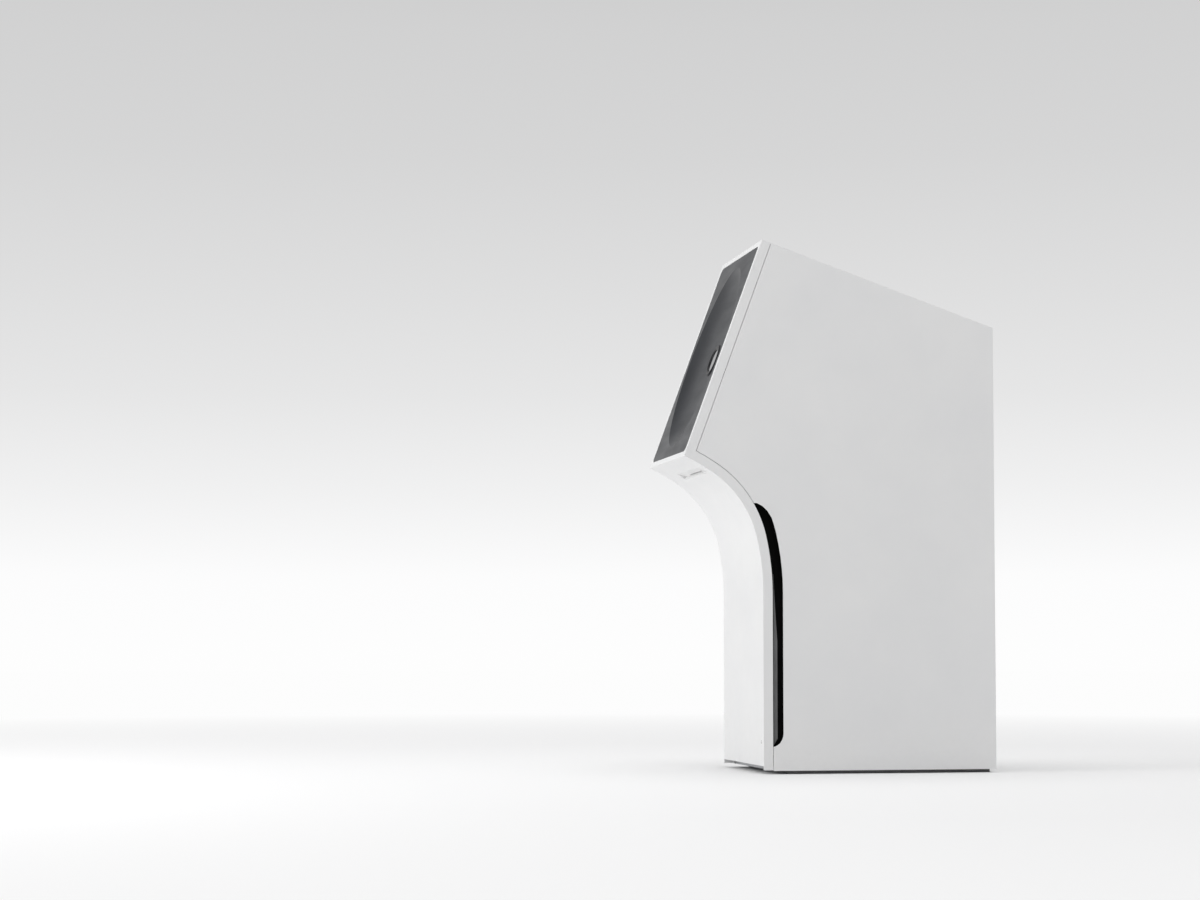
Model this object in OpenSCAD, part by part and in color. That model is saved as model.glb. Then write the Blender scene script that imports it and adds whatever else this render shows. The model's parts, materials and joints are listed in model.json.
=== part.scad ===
// Free-standing photo booth: folded front door, dished lens panel, steel body, printer inside.
// Millimetres, +Z up, the front faces -Y. The body front plane is y = 0 before centring.

/* [Overall size] */
// width of the booth, side face to side face
booth_width = 500; // [440:10:620]
// height of the top front corner above the floor
booth_height = 1600; // [1500:10:1800]
// depth from the upright front plane to the rear edge
body_depth = 725; // [640:5:880]
// height of the sharp crease under the face
lip_height = 945; // [900:5:1010]
// lean of the face back from upright
face_tilt = 20.2; // [16:0.2:22]
// fall of the roof towards the rear
roof_fall = 19; // [12:0.5:20]

/* [Front door] */
// depth of the folded front door shell
door_depth = 29; // [26:0.5:36]
// gap left open between the door and the body
seam_gap = 1.2; // [0.9:0.1:2]
// thickness of the door sheet
door_skin = 3; // [2.5:0.25:4]
// thickness of the body sheets
sheet = 2.5; // [2:0.25:3]
// diameter of the two hinge pins
hinge_pin_d = 5; // [4:0.5:6]
// wall of a hinge knuckle around its pin
knuckle_wall = 2; // [1.5:0.25:3]
// height of each hinge
hinge_height = 48; // [36:2:52]
// running clearance on a pin, per side
pin_fit = 0.06; // [0.03:0.01:0.1]
// height of the lock above the floor
lock_height = 95; // [90:1:120]
// diameter of the lock barrel
lock_d = 12; // [10:0.5:14]

/* [Face panel] */
// white border left around the dark panel
face_border = 17; // [15:1:24]
// corner radius of the dark panel
panel_radius = 18; // [12:1:26]
// how far the dark panel sits below the white border
panel_recess = 1.2; // [0.6:0.1:1.8]
// depth of the dish at its middle
dish_depth = 30; // [20:1:34]
// plain panel left between the dish and the panel edge
dish_margin = 21; // [17:1:40]
// outer diameter of the lens bezel
bezel_d = 98; // [90:1:110]
// diameter of the lens window
window_d = 71; // [60:1:72]

/* [Print outlet] */
// width of the opening for the prints
outlet_width = 300; // [200:5:340]
// height of the opening along the underside
outlet_height = 25; // [20:1:30]
// shift of the outlet from the middle
outlet_x = 50; // [0:5:50]

/* [Body] */
// width of the dark slot in each side
slot_width = 32; // [26:1:38]
// height of the lower end of the side slot
slot_bottom = 81; // [60:1:140]
// depth of the side slot
slot_depth = 18; // [14:1:20]
// height of the dark plinth
plinth_height = 10; // [8:0.5:14]
// inset of the plinth at the sides and the rear
plinth_inset = 16; // [10:1:30]
// inset of the plinth at the front
plinth_front = 75; // [60:1:90]
// width of the frame bars
frame_bar = 22; // [18:1:26]
// height of the shelf under the printer
printer_shelf_z = 880; // [860:5:900]
// height of the shelf under the computer
computer_shelf_z = 420; // [300:10:600]

/* [Fittings] */
// width of the photo printer
printer_width = 275; // [250:5:290]
// depth of the photo printer
printer_depth = 366; // [330:2:380]
// height of the photo printer
printer_height = 170; // [160:2:190]
// size of the cooling fan
fan_size = 120; // [92:1:130]
// diameter of the levelling foot pads
foot_d = 44; // [36:1:50]

/* [Hidden] */
$fn = 48;
eps = 0.1;
half_w = booth_width / 2;
reach = (booth_height - lip_height) * tan(face_tilt);
face_len = (booth_height - lip_height) / cos(face_tilt);
centre_y = (reach - body_depth) / 2;
seam = door_depth + seam_gap;
inner_w = half_w - sheet;

// Underside curve: three tangent arcs, heading h in degrees below level.
h0 = 24;
h1 = 34;
h2 = 77;
unit_run = 592 * (sin(h1) - sin(h0)) + 316 * (sin(h2) - sin(h1)) + 722 * (1 - sin(h2));
curve_k = reach / unit_run;
r1 = 592 * curve_k;
r2 = 316 * curve_k;
r3 = 722 * curve_k;
c1 = [-reach - r1 * sin(h0), lip_height - r1 * cos(h0)];
c2 = c1 + (r1 - r2) * [sin(h1), cos(h1)];
c3 = c2 + (r2 - r3) * [sin(h2), cos(h2)];
curve_end_z = c3[1];

function arc_r(h) = h <= h1 ? r1 : h <= h2 ? r2 : r3;
function arc_c(h) = h <= h1 ? c1 : h <= h2 ? c2 : c3;
function prof(h, d) = arc_c(h) + (arc_r(h) + d) * [sin(h), cos(h)];
function face_reach(d) = c1[0] * cos(face_tilt) - (c1[1] - booth_height) * sin(face_tilt);
function crease_h(d) = face_tilt + asin((d - face_reach(d)) / (r1 + d));
function roof_s(d, e) = (e + d * (tan(roof_fall) * cos(face_tilt) - sin(face_tilt)))
    / (cos(face_tilt) + tan(roof_fall) * sin(face_tilt));
function roof_pt(d, e) = [d * cos(face_tilt) - roof_s(d, e) * sin(face_tilt),
    booth_height - d * sin(face_tilt) - roof_s(d, e) * cos(face_tilt)];
function roof_z(y, e) = booth_height - y * tan(roof_fall) - e;
function curve_pts(d, hs) = [for (i = [0:24]) prof(hs + (90 - hs) * i / 24, d)];
function front_line(d, e, zb) = concat([roof_pt(d, e)], curve_pts(d, crease_h(d)), [[d, zb]]);
function flip(v) = [for (i = [len(v) - 1:-1:0]) v[i]];

// Side slot: a band beside the seam, rounded at both ends.
slot_d = door_depth + slot_width;
function slot_in(din, g, f) = slot_d + g - f * (slot_d + g - din);
function slot_poly(din, g) = concat(
    [for (a = [90:-15:0]) [slot_in(din, g, 1 - cos(a)), slot_bottom + 40 - (40 + g) * sin(a)]],
    [for (h = [90:-2.6:77]) prof(h, slot_d + g)],
    [prof(73, slot_d + g), prof(69.5, slot_d + g), prof(66 - g / 4, slot_in(din, g, 0.12))],
    [prof(63 - g / 4, slot_in(din, g, 0.34)), prof(60.5 - g / 4, slot_in(din, g, 0.65))],
    [prof(59.3 - g / 4, din)],
    [for (h = [64:5:90]) prof(h, din)]);

// Fitting positions.
knuckle_r = hinge_pin_d / 2 + knuckle_wall;
hinge_gap = 0.4;
hinge_x = -(half_w + hinge_gap + knuckle_r);
hinge_y = door_depth - 10;
liner_wall = 1.5;
// Curved strip down the front of each side slot: its radius, its clearance, and where it tapers
scoop_r = slot_depth - liner_wall;
scoop_seat = 0.05;
scoop_step = 3;
scoop_rise = 22;
scoop_full = 300;
scoop_fade = 55;
hinge_spots = [slot_bottom - 11 - hinge_height, booth_height - 25 - hinge_height];
leaf_reach = 40;
centre_x = (knuckle_r - hinge_x - half_w) / 2;
skin_bottom = plinth_height + 14;
cheek_bottom = plinth_height + 2;
lock_x = half_w - 29;
outlet_h = 31.7;
printer_y = 72;
printer_z = printer_shelf_z + sheet + eps;
roll_y = printer_y + printer_depth - 105;
roll_z = printer_z + 84;
feed_y = printer_y + 60;
feed_z = printer_z + 92;
fan_z = 1130;
fan_y = body_depth - 3 - sheet - eps - 25;
inlet_x = -150;
inlet_z = 95;
cam_pivot = -112;
plate_front = seam + 5.3;

module placed() {
    translate([centre_x, centre_y, 0]) children();
}

module along_x(w, pts) {
    rotate([90, 0, 90]) linear_extrude(w, center = true) polygon(pts);
}

module on_face() {
    translate([0, -reach / 2, (booth_height + lip_height) / 2]) rotate([90 - face_tilt, 0, 0]) children();
}

module on_outlet() {
    p = prof(outlet_h, 0);
    translate([outlet_x, p[0], p[1]]) rotate([180 - outlet_h, 0, 0]) children();
}

module rounded_plate(w, l, r, z0, z1) {
    translate([0, 0, z0]) linear_extrude(z1 - z0) union() {
        square([w - 2 * r, l], center = true);
        square([w, l - 2 * r], center = true);
        for (sx = [-1, 1]) for (sy = [-1, 1]) translate([sx * (w / 2 - r), sy * (l / 2 - r)]) circle(r);
    }
}

module block(x0, x1, y0, y1, z0, z1) {
    translate([x0, y0, z0]) cube([x1 - x0, y1 - y0, z1 - z0]);
}

module rod_y(d, x, y0, y1, z) {
    translate([x, y0, z]) rotate([-90, 0, 0]) cylinder(d = d, h = y1 - y0);
}

module rod_x(d, x0, x1, y, z) {
    translate([x0, y, z]) rotate([0, 90, 0]) cylinder(d = d, h = x1 - x0);
}

// ---- base ----

module plinth() {
    color([0.16, 0.16, 0.17]) difference() {
        block(-half_w + plinth_inset, half_w - plinth_inset, plinth_front, body_depth - plinth_inset,
            1, plinth_height - eps);
        block(-half_w + plinth_inset + 14, half_w - plinth_inset - 14, plinth_front + 14,
            body_depth - plinth_inset - 14, 0, plinth_height);
    }
}

module foot_spots() {
    for (sx = [-1, 1]) for (y = [plinth_front + 50, body_depth - plinth_inset - 50])
        translate([sx * (half_w - plinth_inset - 50), y, 0]) children();
}

module base_plate() {
    color([0.45, 0.46, 0.48]) difference() {
        union() {
            block(-inner_w + eps, inner_w - eps, plate_front, body_depth - 3 - sheet - eps,
                plinth_height, plinth_height + 3);
            block(-inner_w + 14, inner_w - 14, plate_front, plate_front + 3,
                plinth_height, plinth_height + 20);
        }
        foot_spots() cylinder(d = 10.6, h = 40);
    }
}

module levelling_feet() {
    color([0.1, 0.1, 0.1]) foot_spots() {
        cylinder(d = foot_d, h = 6);
        translate([0, 0, 5.9]) cylinder(d = 10, h = 34);
    }
}

module foot_nuts() {
    color([0.75, 0.75, 0.76]) foot_spots() translate([0, 0, plinth_height + 3 + eps]) difference() {
        cylinder(d = 19.6, h = 8, $fn = 6);
        translate([0, 0, -1]) cylinder(d = 10.12, h = 10);
    }
}

// ---- body sheets ----

module side_sheet(s) {
    x = s * (half_w - sheet / 2);
    difference() {
        translate([x, 0, 0]) along_x(sheet, concat(front_line(seam, 0, plinth_height),
            [[body_depth, plinth_height], [body_depth, roof_z(body_depth, 0)]]));
        translate([x, 0, 0]) along_x(sheet + 2, slot_poly(seam - 4, 0));
    }
}

module side_panel_left() {
    color([0.9, 0.9, 0.9]) side_sheet(-1);
}

module side_panel_right() {
    color([0.9, 0.9, 0.9]) side_sheet(1);
}

module top_panel() {
    e = 3 / cos(roof_fall);
    p = roof_pt(seam, 0);
    q = roof_pt(seam, e);
    color([0.9, 0.9, 0.9]) along_x(2 * (inner_w - eps), [p, q, [body_depth, roof_z(body_depth, e)],
        [body_depth, roof_z(body_depth, 0)]]);
}

module rear_panel() {
    y1 = body_depth - 3;
    y0 = y1 - sheet;
    color([0.9, 0.9, 0.9]) difference() {
        block(-inner_w + eps, inner_w - eps, y0, y1, plinth_height,
            roof_z(body_depth - 3, 3 / cos(roof_fall)) - 1);
        for (i = [-4:4]) block(-fan_size / 2 + 6, fan_size / 2 - 6, y0 - 1, y1 + 1,
            fan_z + i * 12 - 3, fan_z + i * 12 + 3);
        for (i = [-4:4]) block(-fan_size / 2 + 6, fan_size / 2 - 6, y0 - 1, y1 + 1,
            230 + i * 12 - 3, 230 + i * 12 + 3);
        block(inlet_x - 24, inlet_x + 24, y0 - 1, y1 + 1, inlet_z - 14, inlet_z + 14);
        screw_spots() rod_y(4.4, 0, y0 - 1, y1 + 1, 0);
    }
}

module screw_spots() {
    zt = roof_z(body_depth, 0) - 40;
    for (sx = [-1, 1]) for (i = [0:3])
        translate([sx * (inner_w - frame_bar / 2), 0, 40 + i * (zt - 40) / 3]) children();
}

module rear_screws() {
    y = body_depth - 3;
    color([0.78, 0.78, 0.79]) screw_spots() {
        rod_y(8, 0, y + 0.05, y + 2.2, 0);
        rod_y(4, 0, y - 14, y + 0.1, 0);
    }
}

// ---- frame ----

module side_frame(s) {
    b = frame_bar;
    d = slot_d + 9;
    e = 16;
    outer = concat(front_line(d, e, plinth_height + 3 + eps),
        [[body_depth - 3 - sheet - eps, plinth_height + 3 + eps],
        [body_depth - 3 - sheet - eps, roof_z(body_depth - 6, e)]]);
    inner = concat(front_line(d + b, e + b, plinth_height + 3 + b),
        [[body_depth - 6 - sheet - b, plinth_height + 3 + b],
        [body_depth - 6 - sheet - b, roof_z(body_depth - 6 - b, e + b)]]);
    x = s * (inner_w - eps - b / 2);
    difference() {
        union() {
            difference() {
                translate([x, 0, 0]) along_x(b, outer);
                translate([x, 0, 0]) along_x(b + 2, inner);
            }
            for (z = [printer_shelf_z, computer_shelf_z]) block(x - b / 2, x + b / 2,
                prof(62, d)[0] + 32, body_depth - 10 - sheet, z - b, z);
            block(x - b / 2, x + b / 2, d + 4, body_depth - 10 - sheet, computer_shelf_z - b, computer_shelf_z);
        }
        translate([x, 0, 0]) along_x(b + 2, concat(front_line(-60, -60, -60), flip(front_line(d, -60, -60))));
        screw_spots() rod_y(4.06, 0, body_depth - 40, body_depth, 0);
    }
}

module frame_left() {
    color([0.5, 0.51, 0.53]) side_frame(-1);
}

module frame_right() {
    color([0.5, 0.51, 0.53]) side_frame(1);
}

module liner(s) {
    x1 = inner_w - eps;
    w = slot_depth;
    difference() {
        translate([s * (x1 - w / 2 - 1), 0, 0]) along_x(w + 2, slot_poly(seam, 2));
        translate([s * (x1 - w / 2 + 1), 0, 0]) along_x(w + 2, slot_poly(seam + liner_wall, 0));
    }
}

module slot_liner_left() {
    color([0.05, 0.05, 0.05]) liner(-1);
}

module slot_liner_right() {
    color([0.05, 0.05, 0.05]) liner(1);
}

module slot_scoops() {
    x1 = inner_w - eps;
    d = seam + liner_wall + scoop_seat;
    z0 = slot_bottom + 3;
    z1 = curve_end_z + scoop_fade;
    color([0.4, 0.4, 0.4]) for (s = [-1, 1]) intersection() {
        translate([0, 0, z0]) linear_extrude(curve_end_z) polygon(concat([[s * (x1 - scoop_r), d]],
            [for (t = [scoop_step:scoop_step:90 - scoop_step]) [s * (x1 - scoop_r * sin(t)), d + scoop_r * (1 - cos(t))]]));
        along_x(2 * booth_width, [[d - 1, z0], [d + 2, z0], [d + scoop_r, z0 + scoop_rise],
            [d + scoop_r, z0 + scoop_full], [d + 2, z1], [d - 1, z1]]);
    }
}

module shelf(z, y0, y1) {
    w = inner_w - 1;
    block(-w, w, y0, y1, z + eps / 2, z + eps / 2 + sheet - eps);
    block(-w + frame_bar + 2, w - frame_bar - 2, y0, y0 + 2.5, z - 18, z + 1);
}

module printer_shelf() {
    color([0.62, 0.63, 0.65]) shelf(printer_shelf_z, prof(62, slot_d)[0] + 60, printer_y + printer_depth + 60);
}

module computer_shelf() {
    color([0.62, 0.63, 0.65]) shelf(computer_shelf_z, slot_d + 60, body_depth - 160);
}

// ---- printer ----

module printer_body() {
    x0 = outlet_x - printer_width / 2;
    x1 = outlet_x + printer_width / 2;
    y1 = printer_y + printer_depth;
    t = 3;
    color([0.2, 0.2, 0.22]) difference() {
        union() {
            difference() {
                block(x0, x1, printer_y, y1, printer_z, printer_z + printer_height);
                block(x0 + t, x1 - t, printer_y + t, y1 - t, printer_z + t, printer_z + printer_height + 1);
            }
            for (x = [x0 + 30, x1 - 36]) {
                block(x, x + 6, roll_y - 10, roll_y + 10, printer_z + 1, roll_z - 0.2);
                block(x, x + 6, feed_y - 10, feed_y + 10, printer_z + 1, feed_z + 8);
            }
        }
        block(x0 + 50, x1 - 50, printer_y - 1, printer_y + 6, feed_z - 12, feed_z + 12);
        rod_x(12.12, x0 + 29, x1 - 29, roll_y, roll_z);
        rod_x(8.12, x0 + 29, x1 - 29, feed_y, feed_z);
        rod_x(4.12, x0 - 1, x1 + 1, y1 - 12, printer_z + printer_height - 10);
        for (x = [x0 + 5, x1 - 15]) block(x, x + 10, y1 - 4, y1 + 1,
            printer_z + printer_height - 22, printer_z + printer_height + 1);
    }
}

module printer_lid() {
    x0 = outlet_x - printer_width / 2;
    x1 = outlet_x + printer_width / 2;
    y1 = printer_y + printer_depth;
    zt = printer_z + printer_height;
    color([0.26, 0.26, 0.28]) union() {
        block(x0, x1, printer_y, y1 - 24, zt + 0.3, zt + 6);
        for (x = [x0 + 6, x1 - 14]) {
            block(x, x + 8, y1 - 26, y1 - 8, zt + 2, zt + 6);
            block(x, x + 8, y1 - 16, y1 - 8, zt - 8, zt + 4);
            rod_x(8, x, x + 8, y1 - 12, zt - 10);
        }
        rod_x(4, x0 + 0.5, x0 + 8, y1 - 12, zt - 10);
        rod_x(4, x1 - 8, x1 - 0.5, y1 - 12, zt - 10);
    }
}

module paper_roll() {
    color([0.93, 0.92, 0.88]) union() {
        rod_x(110, outlet_x - 76, outlet_x + 76, roll_y, roll_z);
        rod_x(12, outlet_x - printer_width / 2 + 28, outlet_x + printer_width / 2 - 28, roll_y, roll_z);
    }
}

module feed_roller() {
    color([0.15, 0.15, 0.15]) union() {
        rod_x(24, outlet_x - 80, outlet_x + 80, feed_y, feed_z);
        rod_x(8, outlet_x - printer_width / 2 + 28, outlet_x + printer_width / 2 - 28, feed_y, feed_z);
    }
}

module print_chute() {
    a = [printer_y - 0.3, feed_z - 14];
    b = prof(outlet_h + 3, door_depth + 9);
    b2 = prof(outlet_h + 3, door_depth + 11);
    foot = printer_z;
    xw = 86;
    color([0.72, 0.73, 0.75]) translate([outlet_x, 0, 0]) union() {
        along_x(2 * xw, [a, b, b - [0, 2], a - [0, 2]]);
        for (s = [-1, 1]) translate([s * (xw - 1), 0, 0]) along_x(2, [a + [0, 22], b2 + [4, 16], b - [0, 2],
            [printer_y - 60, foot + 24], [printer_y - 60, foot], [printer_y - 0.3, foot]]);
    }
}

// ---- electrics ----

module computer() {
    z = computer_shelf_z + sheet + eps;
    color([0.12, 0.12, 0.13]) difference() {
        block(-200, -20, slot_d + 110, slot_d + 290, z, z + 55);
        for (i = [0:6]) block(-190, -30, slot_d + 135 + i * 20, slot_d + 141 + i * 20, z + 50, z + 60);
    }
}

module power_supply() {
    z = computer_shelf_z + sheet + eps;
    color([0.7, 0.7, 0.72]) difference() {
        block(30, 145, slot_d + 110, slot_d + 325, z, z + 50);
        for (i = [0:8]) block(40, 135, slot_d + 130 + i * 20, slot_d + 134 + i * 20, z + 46, z + 60);
    }
}

module fan_frame() {
    y = fan_y;
    r = fan_size / 2;
    color([0.08, 0.08, 0.08]) difference() {
        union() {
            difference() {
                block(-r, r, y, y + 25, fan_z - r, fan_z + r);
                rod_y(2 * r - 6, 0, y - 1, y + 26, fan_z);
            }
            rod_y(38, 0, y + 0.5, y + 4.5, fan_z);
            for (a = [45:90:315]) translate([0, y + 0.5, fan_z]) rotate([0, a, 0])
                translate([14, 0.2, -3]) cube([r - 14, 3.6, 6]);
        }
        for (sx = [-1, 1]) for (sz = [-1, 1]) rod_y(4.4, sx * (r - 8), y - 1, y + 26, fan_z + sz * (r - 8));
        rod_y(5.12, 0, y - 1, y + 6, fan_z);
    }
}

module fan_rotor() {
    y = fan_y + 6;
    color([0.1, 0.1, 0.1]) union() {
        rod_y(38, 0, y, y + 17, fan_z);
        rod_y(5, 0, y - 5, y + 1, fan_z);
        for (i = [0:6]) translate([0, y + 8.5, fan_z]) rotate([0, i * 360 / 7, 0]) translate([17, 0, 0])
            rotate([32, 0, 0]) translate([0, -1, -11]) cube([fan_size / 2 - 24, 2, 22]);
    }
}

module mains_inlet() {
    y = body_depth - 3;
    color([0.07, 0.07, 0.07]) difference() {
        union() {
            block(inlet_x - 29, inlet_x + 29, y + 0.1, y + 2.2, inlet_z - 18, inlet_z + 18);
            block(inlet_x - 23.8, inlet_x + 23.8, y - 34, y + 0.2, inlet_z - 13.8, inlet_z + 13.8);
        }
        block(inlet_x - 20, inlet_x + 6, y - 18, y + 3, inlet_z - 9, inlet_z + 9);
        block(inlet_x + 9, inlet_x + 21, y - 14, y + 3, inlet_z - 11, inlet_z + 11);
        rod_x(2.12, inlet_x + 7.5, inlet_x + 22.5, y - 3, inlet_z);
    }
}

module power_rocker() {
    y = body_depth - 3;
    color([0.6, 0.06, 0.05]) translate([inlet_x + 15, y - 3, inlet_z]) rotate([8, 0, 0]) union() {
        rod_x(2, -7.4, 7.4, 0, 0);
        rod_x(8, -5.5, 5.5, 0, 0);
        rotate([-8, 0, 0]) block(-5.5, 5.5, 0, 3.6, -9.4, 0);
        rotate([8, 0, 0]) block(-5.5, 5.5, 0, 3.6, 0, 9.4);
    }
}

// ---- hinges and lock ----

function front_at(z) = z > curve_end_z ? -(booth_height - z) * tan(face_tilt) : 0;

module knuckle(z0, z1, bore) {
    translate([hinge_x, hinge_y, z0]) difference() {
        cylinder(r = knuckle_r, h = z1 - z0);
        translate([0, 0, -1]) cylinder(d = hinge_pin_d + bore, h = z1 - z0 + 2);
    }
}

module leaf_sheet(z, pts) {
    translate([-half_w - hinge_gap - 1, 0, z]) along_x(2, pts);
}

module hinge_leaf_body() {
    h = hinge_height;
    y1 = hinge_y + leaf_reach;
    color([0.6, 0.61, 0.63]) for (z = hinge_spots) {
        knuckle(z + h / 3 + 0.15, z + 2 * h / 3 - 0.15, 2 * pin_fit);
        leaf_sheet(z, [[hinge_y, h / 3 + 0.15], [hinge_y, 2 * h / 3 - 0.15], [hinge_y + knuckle_r + 1, 2 * h / 3 - 0.15],
            [hinge_y + knuckle_r + 1, h], [y1, h], [y1, 0], [hinge_y + knuckle_r + 1, 0],
            [hinge_y + knuckle_r + 1, h / 3 + 0.15]]);
    }
}

module hinge_leaf_door() {
    h = hinge_height;
    y0 = hinge_y - knuckle_r - 1;
    color([0.6, 0.61, 0.63]) for (z = hinge_spots) {
        for (q = [[0, h / 3 - 0.15], [2 * h / 3 + 0.15, h]]) knuckle(z + q[0], z + q[1], 0.02);
        leaf_sheet(z, [[hinge_y, 0], [front_at(z) + 3, 0], [front_at(z + h) + 3, h], [hinge_y, h],
            [hinge_y, 2 * h / 3 + 0.15], [y0, 2 * h / 3 + 0.15], [y0, h / 3 - 0.15], [hinge_y, h / 3 - 0.15]]);
    }
}

module hinge_pins() {
    color([0.8, 0.8, 0.82]) for (z = hinge_spots) translate([hinge_x, hinge_y, z]) {
        translate([0, 0, -0.6]) cylinder(d = hinge_pin_d, h = hinge_height + 1);
        translate([0, 0, hinge_height + 0.1]) cylinder(d = hinge_pin_d + 2, h = 1.4);
    }
}

module lock_barrel() {
    color([0.72, 0.72, 0.74]) difference() {
        union() {
            rod_y(lock_d, lock_x, 0.2, 34, lock_height);
            rod_y(lock_d + 6, lock_x, door_skin + 0.1, door_skin + 5, lock_height);
            rod_y(6, lock_x, 33, 42, lock_height);
        }
        rod_y(4.5, lock_x, -1, 6, lock_height);
    }
}

module lock_cam() {
    color([0.78, 0.78, 0.8]) difference() {
        union() {
            rod_y(12, lock_x, 37, 40, lock_height);
            block(lock_x - 6, lock_x + 6, 37, 40, lock_height, lock_height + 30);
        }
        rod_y(6.12, lock_x, 36, 41, lock_height);
    }
}

module lock_strike() {
    color([0.6, 0.61, 0.63]) block(lock_x - 34, lock_x - 12, plate_front - 2.5, plate_front - eps,
        plinth_height + 1, lock_height + 12);
}

// ---- front door ----

module door_shell() {
    e = door_skin / cos(roof_fall);
    w = booth_width - 2 * door_skin;
    pw = booth_width - 2 * face_border;
    pl = face_len - 2 * face_border;
    color([0.95, 0.95, 0.95]) difference() {
        union() {
            difference() {
                along_x(booth_width, concat(front_line(0, 0, cheek_bottom), flip(front_line(door_depth, 0, cheek_bottom))));
                along_x(w, concat(front_line(door_skin, e, skin_bottom + door_skin),
                    flip(front_line(door_depth + 5, e, skin_bottom + door_skin))));
                block(-w / 2, w / 2, -5, door_depth + 5, 0, skin_bottom);
            }
            translate([lock_x, 1, lock_height]) rotate([-90, 0, 0]) cylinder(d = lock_d + 12, h = 5);
        }
        on_face() rounded_plate(pw, pl, panel_radius, -door_skin - 1, 2);
        on_outlet() rounded_plate(outlet_width + 4.4, outlet_height + 4.4, 3, -40, 8);
        rod_y(lock_d + 0.1, lock_x, -1, 12, lock_height);
        rod_y(lock_d + 6.1, lock_x, door_skin + 0.05, 12, lock_height);
    }
}

dish_b = face_len / 2 - face_border - dish_margin - 14;
dish_a = half_w - face_border - dish_margin;

module bowl(grow, deep, top) {
    n = 72;
    steps = 12;
    rim_power = 4;
    rings = concat([for (i = [1:steps]) [i / steps, -deep * (1 - pow(i / steps, rim_power))]], [[1, top]]);
    m = len(rings);
    polyhedron(
        points = [for (q = rings) for (i = [0:n - 1])
            [(dish_a + grow) * q[0] * cos(360 * i / n), (dish_b + grow) * q[0] * sin(360 * i / n), q[1]]],
        faces = concat([[for (i = [0:n - 1]) i]],
            [for (k = [0:m - 2]) for (i = [0:n - 1])
                [k * n + i, (k + 1) * n + i, (k + 1) * n + (i + 1) % n, k * n + (i + 1) % n]],
            [[for (i = [n - 1:-1:0]) (m - 1) * n + i]]));
}

module face_panel() {
    pw = booth_width - 2 * face_border - 0.6;
    pl = face_len - 2 * face_border - 0.6;
    z0 = -panel_recess;
    zb = z0 - dish_depth;
    color([0.3, 0.3, 0.31]) on_face() difference() {
        union() {
            rounded_plate(pw, pl, panel_radius - 0.3, -door_skin - 3, z0);
            rounded_plate(pw + 16, pl + 16, panel_radius, -door_skin - 3, -door_skin - 0.1);
            translate([0, 0, z0 - 3]) bowl(3, dish_depth + 0.6, 0.3);
            translate([0, 0, zb - 5]) cylinder(d = bezel_d + 16, h = 7);
        }
        difference() {
            translate([0, 0, z0]) bowl(0, dish_depth, 4);
            translate([0, 0, zb - 6]) cylinder(d = bezel_d + 6, h = 7.8);
        }
        translate([0, 0, zb - 20]) cylinder(d = window_d + 8.4, h = 60);
    }
}

module clamp_spots() {
    for (sx = [-1, 1]) for (i = [-2:2]) translate([sx * (half_w - door_skin - 5.8), i * 140, 0]) children();
}

module face_clamps() {
    color([0.7, 0.7, 0.72]) on_face() clamp_spots() translate([0, 0, -door_skin - 9]) block_c(11.4, 24, 5.9);
}

module block_c(w, l, h) {
    translate([-w / 2, -l / 2, 0]) cube([w, l, h]);
}

module lens_bezel() {
    z = -panel_recess - dish_depth + 1.9;
    color([0.06, 0.06, 0.065]) on_face() difference() {
        union() {
            translate([0, 0, z]) cylinder(d = bezel_d, h = 2, $fn = 96);
            translate([0, 0, z - 11]) cylinder(d = window_d + 8, h = 12, $fn = 96);
        }
        translate([0, 0, z - 5]) cylinder(d = window_d + 0.4, h = 20, $fn = 96);
        translate([0, 0, z - 20]) cylinder(d = window_d - 5, h = 40, $fn = 96);
    }
}

module lens_window() {
    z = -panel_recess - dish_depth + 1.9;
    color([0.05, 0.05, 0.06]) on_face() translate([0, 0, z - 4.9]) cylinder(d = window_d, h = 4, $fn = 96);
}

module camera_bracket() {
    z = -panel_recess - dish_depth - 5.1;
    color([0.62, 0.63, 0.65]) on_face() difference() {
        union() {
            translate([0, 0, z - 3]) block_c(160, 124, 3);
            for (s = [-1, 1]) translate([s * 73, 0, cam_pivot - 16]) block_c(4, 40, z - cam_pivot + 14.5);
        }
        translate([0, 0, z - 9]) cylinder(d = window_d + 9, h = 20);
        translate([-90, 0, cam_pivot]) rotate([0, 90, 0]) cylinder(d = 8.04, h = 180);
    }
}

module camera_body() {
    color([0.09, 0.09, 0.1]) on_face() difference() {
        translate([0, 0, cam_pivot - 34]) block_c(138, 92, 62);
        translate([-80, 0, cam_pivot]) rotate([0, 90, 0]) cylinder(d = 8.12, h = 30);
        translate([50, 0, cam_pivot]) rotate([0, 90, 0]) cylinder(d = 8.12, h = 30);
    }
}

module camera_lens() {
    color([0.06, 0.06, 0.07]) on_face() translate([0, 0, cam_pivot + 28 + eps]) difference() {
        union() {
            cylinder(d = 66, h = 18);
            translate([0, 0, 17]) cylinder(d = 60, h = 20);
        }
        translate([0, 0, 33]) cylinder(d = 50, h = 6);
    }
}

module camera_pivots() {
    color([0.78, 0.78, 0.8]) on_face() for (s = [-1, 1]) translate([s * 69, 0, cam_pivot]) rotate([0, 90, 0]) {
        translate([0, 0, -12]) cylinder(d = 8, h = 24);
        translate([0, 0, s * 8 - 2]) cylinder(d = 14, h = 3.9);
    }
}

module flash_boards() {
    z = -door_skin - 3.1;
    color([0.1, 0.35, 0.2]) on_face() for (s = [-1, 1]) translate([0, s * (face_len / 2 - face_border - 12), z - 12])
        block_c(260, 16, 12);
}

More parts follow.
